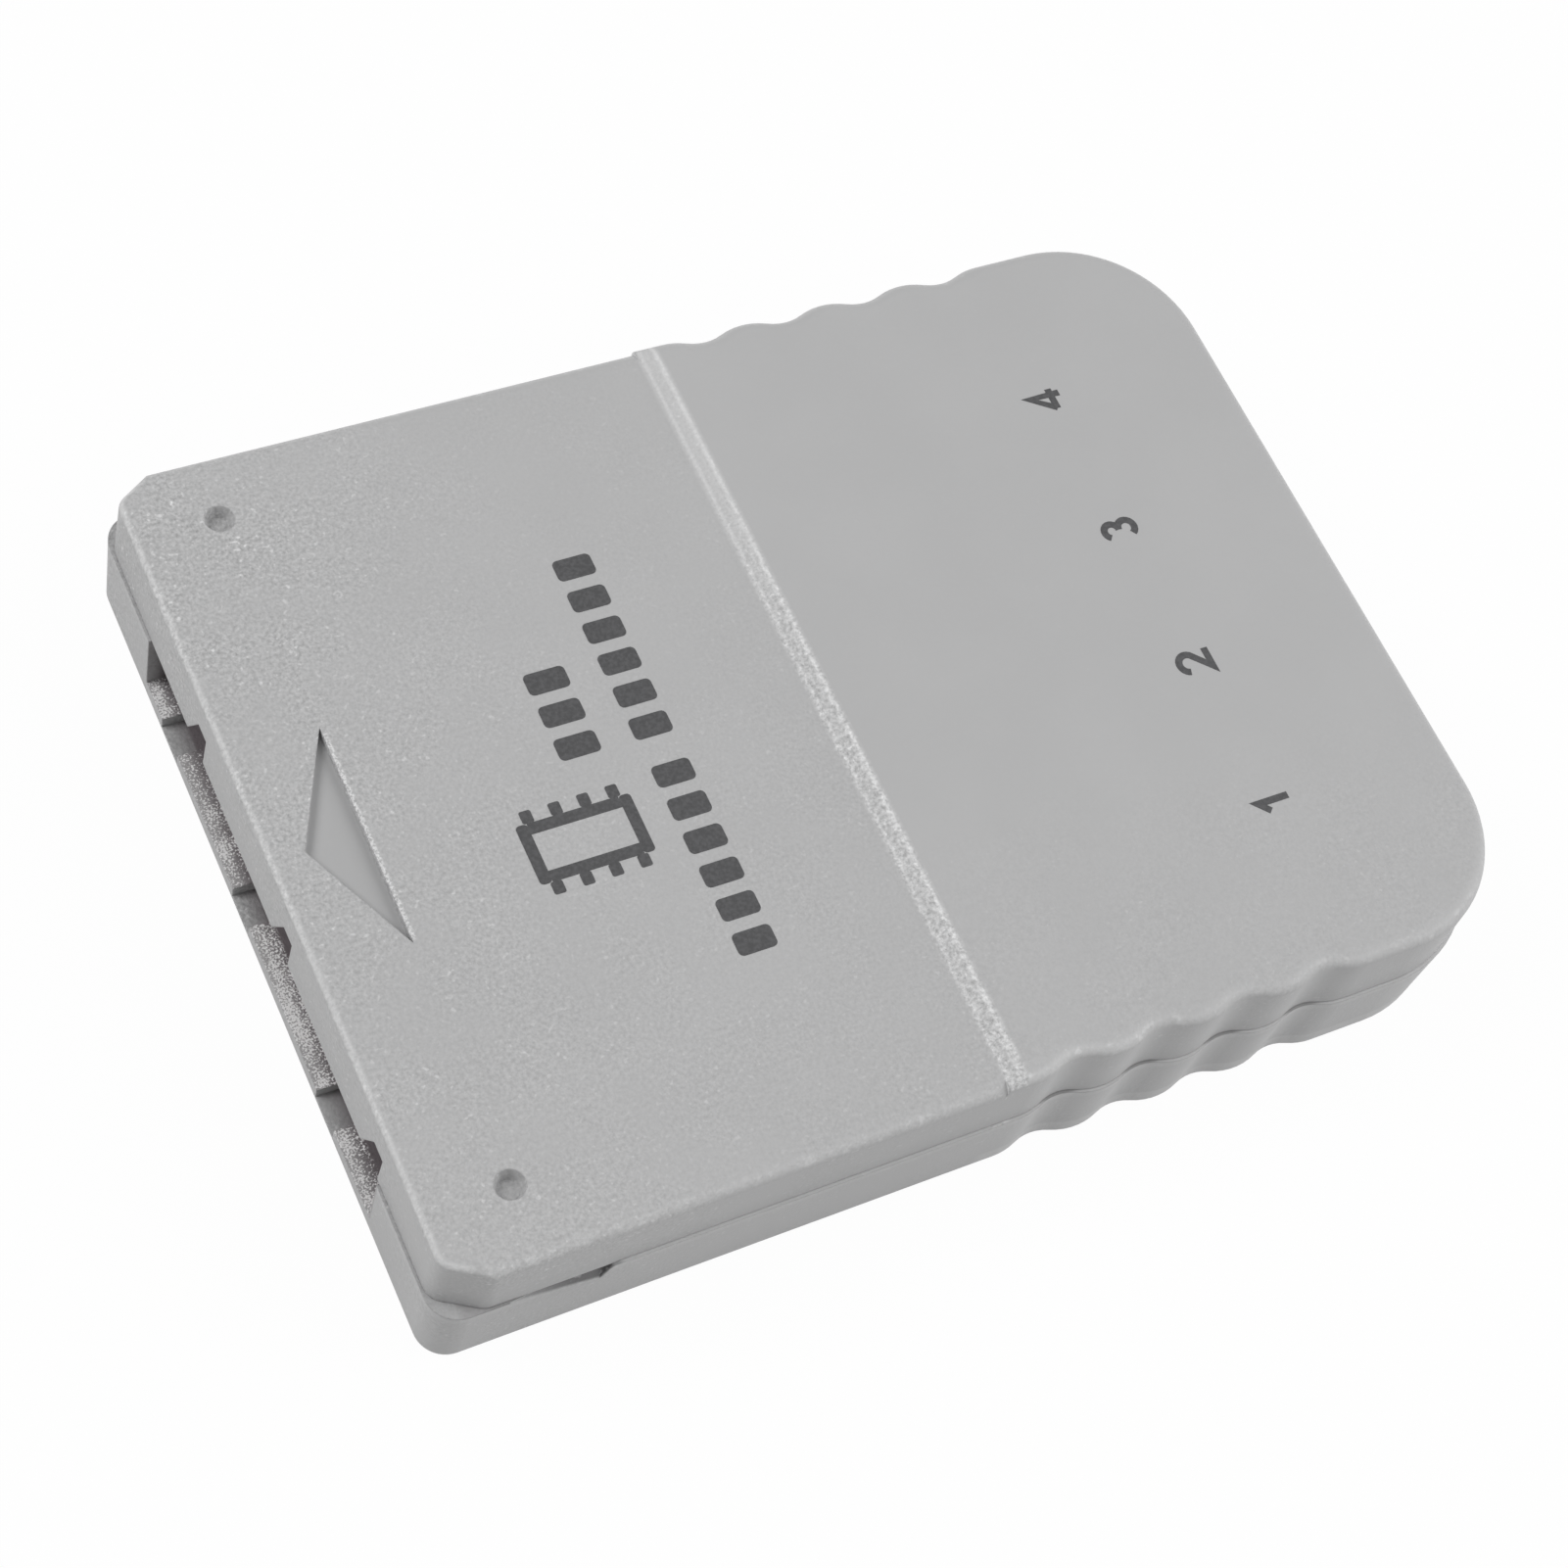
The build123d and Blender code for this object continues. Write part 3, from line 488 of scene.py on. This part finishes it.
def board_laminate():
    """Dark solder mask over a faint glass weave and buried tracks."""
    material, tree, shader, place = new_material("board_laminate")
    spot = place.outputs["Object"]
    weave = add(tree, "TexWave", {"Vector": spot, "Scale": 900.0, "Distortion": 0.4}, bands_direction="DIAGONAL")
    tracks = add(
        tree,
        "TexBrick",
        {
            "Vector": spot,
            "Color1": (1.0, 1.0, 1.0, 1.0),
            "Color2": (1.0, 1.0, 1.0, 1.0),
            "Mortar": (0.0, 0.0, 0.0, 1.0),
            "Scale": 160.0,
            "Mortar Size": 0.03,
        },
    )
    mask = mixed(tree, noise(tree, spot, MASK_CLOUD_SIZE), MASK_DARK, MASK_LIGHT)
    colour = mixed(tree, tracks.outputs["Fac"], mask, MASK_TRACKS)
    feed(
        tree,
        shader,
        colour=colour,
        roughness=ramped(tree, weave.outputs["Fac"], 0.0, 1.0, 0.26, 0.4),
        normal=bumped(tree, weave.outputs["Fac"], 0.2, 0.02),
    )
    return material


def brushed_metal(name, dark, light, grain_size):
    """Plated metal with fine scuffs."""
    material, tree, shader, place = new_material(name)
    stretch = add(tree, "Mapping", {"Vector": place.outputs["Object"], "Scale": (0.2, 1.0, 1.0)})
    scuffs = noise(tree, stretch.outputs[0], grain_size, 4.0, 0.65)
    feed(
        tree,
        shader,
        colour=mixed(tree, ramped(tree, scuffs, 0.3, 0.7), dark, light),
        roughness=ramped(tree, scuffs, 0.3, 0.75, 0.22, 0.45),
        normal=bumped(tree, scuffs, 0.15, 0.01),
    )
    shader.inputs["Metallic"].default_value = 1.0
    return material


def chip_epoxy():
    """Black filled epoxy with a sandy skin."""
    material, tree, shader, place = new_material("chip_epoxy")
    sand = noise(tree, place.outputs["Object"], 0.12, 4.0, 0.7)
    feed(
        tree,
        shader,
        colour=mixed(tree, ramped(tree, sand, 0.3, 0.75), EPOXY_DARK, EPOXY_LIGHT),
        roughness=ramped(tree, sand, 0.3, 0.7, 0.5, 0.7),
        normal=bumped(tree, sand, 0.4, 0.02),
    )
    return material


def capped_body(name, axis, cap, body_dark, body_light):
    """Small part, named as its node, with a ceramic or moulded body between bright metal ends."""
    material, tree, shader, place = new_material(name)
    low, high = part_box(name)
    spot = place.outputs["Object"]
    along = add(tree, "SeparateXYZ", {0: spot}).outputs[axis]
    body = between(tree, along, low[axis] + cap * MM, high[axis] - cap * MM, 0.02 * MM)
    metal = calculate(tree, "SUBTRACT", 1.0, body)
    grit = noise(tree, spot, 0.1, 3.0, 0.6)
    ceramic = mixed(tree, ramped(tree, grit, 0.3, 0.7), body_dark, body_light)
    feed(
        tree,
        shader,
        colour=mixed(tree, metal, ceramic, END_CAP_METAL),
        metal=metal,
        roughness=ramped(tree, grit, 0.3, 0.7, 0.32, 0.52),
        normal=bumped(tree, grit, 0.2, 0.01),
    )
    return material


def rounded_bar(x0, x1, y0, y1, radius, steps=4):
    """Corner points of a flat bar with round corners."""
    points = []
    centres = (
        (x1 - radius, y1 - radius, 0),
        (x0 + radius, y1 - radius, 90),
        (x0 + radius, y0 + radius, 180),
        (x1 - radius, y0 + radius, 270),
    )
    for x, y, start in centres:
        for step in range(steps + 1):
            angle = math.radians(start + 90 * step / steps)
            points.append((x + radius * math.cos(angle), y + radius * math.sin(angle)))
    return points


def arc(centre, radius, start, end, steps=14):
    """Points along a circle, from one angle to another."""
    points = []
    for step in range(steps + 1):
        angle = math.radians(start + (end - start) * step / steps)
        points.append((centre[0] + radius * math.cos(angle), centre[1] + radius * math.sin(angle)))
    return points


def stroke(points, width):
    """Outline of a pen line of even width along some points, its corners mitred."""
    line = [Vector(point) for point in points]
    left, right = [], []
    for index, point in enumerate(line):
        last = index == len(line) - 1
        behind = (point - line[index - 1]).normalized() if index else (line[1] - point).normalized()
        ahead = behind if last else (line[index + 1] - point).normalized()
        across = Vector((-ahead.y - behind.y, ahead.x + behind.x)).normalized()
        reach = width / 2 / max(across.dot(Vector((-ahead.y, ahead.x))), 0.4)
        left.append(tuple(point + across * reach))
        right.append(tuple(point - across * reach))
    return left + right[::-1]


def printed(name, shapes, height, ink):
    """Thin layer of ink on the top face, one film for each closed outline, each a hair thicker than the last."""
    shape = bmesh.new()
    for index, outline in enumerate(shapes):
        corners = [shape.verts.new((x * MM, y * MM, height * MM)) for x, y in outline]
        face = shape.faces.new(corners)
        top = bmesh.ops.extrude_face_region(shape, geom=[face])["geom"]
        raised = [item for item in top if isinstance(item, bmesh.types.BMVert)]
        bmesh.ops.translate(shape, verts=raised, vec=(0, 0, INK_HEIGHT * (1 + index * INK_STEP) * MM))
    bmesh.ops.recalc_face_normals(shape, faces=shape.faces)
    mesh = bpy.data.meshes.new(name)
    shape.to_mesh(mesh)
    shape.free()
    piece = bpy.data.objects.new(name, mesh)
    mesh.materials.append(ink)
    bpy.context.collection.objects.link(piece)
    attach(piece, "root")


def slot_digits(ink):
    """Four digits along the rear of the grip, their tops towards the plug end."""
    lines = (
        [[(0.04, 0.7), (0.34, 0.98), (0.34, 0.0)]],
        [arc((0.33, 0.7), 0.28, 170, -35) + [(0.04, 0.02), (0.66, 0.02)]],
        [arc((0.31, 0.745), 0.235, 150, -90), arc((0.31, 0.265), 0.255, 90, -150)],
        [[(0.5, 0.0), (0.5, 0.98), (0.02, 0.28)], [(0.0, 0.28), (0.7, 0.28)]],
    )
    for index, digit in enumerate(lines):
        middle = DIGIT_FIRST_Y + index * DIGIT_PITCH
        shapes = []
        for line in digit:
            placed = [(DIGIT_X + (0.5 - v) * DIGIT_HEIGHT, middle + (u - 0.34) * DIGIT_HEIGHT) for u, v in line]
            shapes.append(stroke(placed, DIGIT_STROKE))
        printed(f"digit_{index + 1}", shapes, GRIP_TOP, ink)


def plug_end_marks(ink):
    """Plain pictogram of a chip, and rows of blocks beside and behind it."""
    x0, x1 = CHIP_MARK_X
    y0, y1 = CHIP_MARK_Y
    low, high = y0 + CHIP_LEG_LENGTH, y1 - CHIP_LEG_LENGTH
    wall = CHIP_MARK_WALL
    bars = [
        rounded_bar(x0, x0 + wall, low, high, CHIP_MARK_ROUND),
        rounded_bar(x1 - wall, x1, low, high, CHIP_MARK_ROUND),
        rounded_bar(x0 + wall, x1 - wall, low, low + wall, CHIP_MARK_SQUARE),
        rounded_bar(x0 + wall, x1 - wall, high - wall, high, CHIP_MARK_SQUARE),
    ]
    for index in range(CHIP_LEG_COUNT):
        x = x0 + (index + 0.5) * (x1 - x0) / CHIP_LEG_COUNT
        for start, end in ((y0, low), (high, y1)):
            bars.append(rounded_bar(x - CHIP_LEG_HALF, x + CHIP_LEG_HALF, start, end, CHIP_LEG_ROUND))
    printed("mark_chip", bars, PLUG_TOP, ink)

    blocks = []
    for (front, rear), first, number in BLOCK_ROWS:
        for index in range(number):
            y = first + index * BLOCK_PITCH
            blocks.append(rounded_bar(front, rear, y, y + BLOCK_WIDTH, BLOCK_ROUND))
    printed("mark_blocks", blocks, PLUG_TOP, ink)


def dress_nodes():
    """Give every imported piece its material."""
    case = case_plastic()
    gold = brushed_metal("contact_gold", GOLD_DARK, GOLD_LIGHT, GOLD_SCUFFS)
    tin = brushed_metal("lead_tin", TIN_DARK, TIN_LIGHT, TIN_SCUFFS)
    single = {
        "top_shell": case,
        "bottom_shell": case,
        "circuit_board": board_laminate(),
        "memory_chip": chip_epoxy(),
        "memory_chip_leads": tin,
        "bulk_capacitor": capped_body("bulk_capacitor", 1, BULK_CAP, BULK_DARK, BULK_LIGHT),
    }
    for name, piece in nodes.items():
        if name.startswith("contact_pad"):
            material = gold
        elif name.startswith("resistor"):
            material = capped_body(name, 0, END_CAP, RESISTOR_DARK, RESISTOR_LIGHT)
        elif name.startswith("capacitor"):
            material = capped_body(name, 0, END_CAP, CAPACITOR_DARK, CAPACITOR_LIGHT)
        else:
            material = single[name]
        piece.data.materials.clear()
        piece.data.materials.append(material)


def seen_directly(tree):
    """One for rays that show a surface to the camera, in a reflection or through glass."""
    path = add(tree, "LightPath")
    seen = calculate(tree, "MAXIMUM", path.outputs["Is Camera Ray"], path.outputs["Is Glossy Ray"])
    return calculate(tree, "MAXIMUM", seen, path.outputs["Is Transmission Ray"])


def pale_floor():
    """White floor that keeps a faint shadow of the card."""
    shape = bmesh.new()
    bmesh.ops.create_grid(shape, x_segments=4, y_segments=4, size=FLOOR_SIZE / 2)
    mesh = bpy.data.meshes.new("floor")
    shape.to_mesh(mesh)
    shape.free()
    floor = bpy.data.objects.new("floor", mesh)
    bpy.context.collection.objects.link(floor)
    material = bpy.data.materials.new("floor_white")
    material.use_nodes = True
    tree = material.node_tree
    tree.nodes.clear()
    paper = add(tree, "BsdfDiffuse", {"Color": (FLOOR_WHITE, FLOOR_WHITE, FLOOR_WHITE, 1.0)})
    glow = add(tree, "Emission", {"Strength": 1.0})
    share = calculate(tree, "MULTIPLY", seen_directly(tree), FLOOR_GLOW)
    surface = add(tree, "MixShader", {0: share, 1: paper.outputs[0], 2: glow.outputs[0]})
    add(tree, "OutputMaterial", {"Surface": surface.outputs[0]})
    mesh.materials.append(material)


def white_room():
    """Even white surroundings, a softer light than they look."""
    world = bpy.data.worlds.new("white_room")
    world.use_nodes = True
    tree = world.node_tree
    tree.nodes.clear()
    strength = ramped(tree, seen_directly(tree), 0.0, 1.0, WORLD_LIGHT, 1.0)
    backdrop = add(tree, "Background", {"Color": (1.0, 1.0, 1.0, 1.0), "Strength": strength})
    add(tree, "OutputWorld", {"Surface": backdrop.outputs[0]})
    bpy.context.scene.world = world


def soft_lamp(name, towards, power, size):
    """Large soft lamp that looks at the card."""
    lamp = bpy.data.lights.new(name, "AREA")
    lamp.shape = "DISK"
    lamp.size = size
    lamp.energy = power
    piece = bpy.data.objects.new(name, lamp)
    direction = Vector(towards).normalized()
    piece.location = direction * LAMP_DISTANCE
    piece.rotation_euler = direction.to_track_quat("Z", "Y").to_euler()
    bpy.context.collection.objects.link(piece)


def photo_camera():
    """Camera at the photograph's viewing angle."""
    camera = bpy.data.cameras.new("camera")
    camera.lens = CAMERA_LENS
    camera.sensor_fit = "HORIZONTAL"
    camera.sensor_width = 36.0
    camera.clip_start = 0.001
    piece = bpy.data.objects.new("camera", camera)
    piece.location = Vector(CAMERA_PLACE) * MM
    piece.rotation_euler = Euler([math.radians(angle) for angle in CAMERA_TURN], "XYZ")
    bpy.context.collection.objects.link(piece)
    bpy.context.scene.camera = piece


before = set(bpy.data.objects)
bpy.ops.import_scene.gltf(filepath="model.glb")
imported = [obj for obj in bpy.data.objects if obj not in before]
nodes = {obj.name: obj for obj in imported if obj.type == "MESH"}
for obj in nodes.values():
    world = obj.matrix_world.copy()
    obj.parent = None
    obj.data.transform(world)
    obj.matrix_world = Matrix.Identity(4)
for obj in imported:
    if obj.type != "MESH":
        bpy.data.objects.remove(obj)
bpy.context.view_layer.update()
bpy.context.scene.view_settings.view_transform = "Standard"

dress_nodes()
ink_layer = printing_ink()
slot_digits(ink_layer)
plug_end_marks(ink_layer)
pale_floor()
white_room()
soft_lamp("key", KEY_DIRECTION, KEY_POWER, KEY_SIZE)
soft_lamp("fill", FILL_DIRECTION, FILL_POWER, FILL_SIZE)
photo_camera()
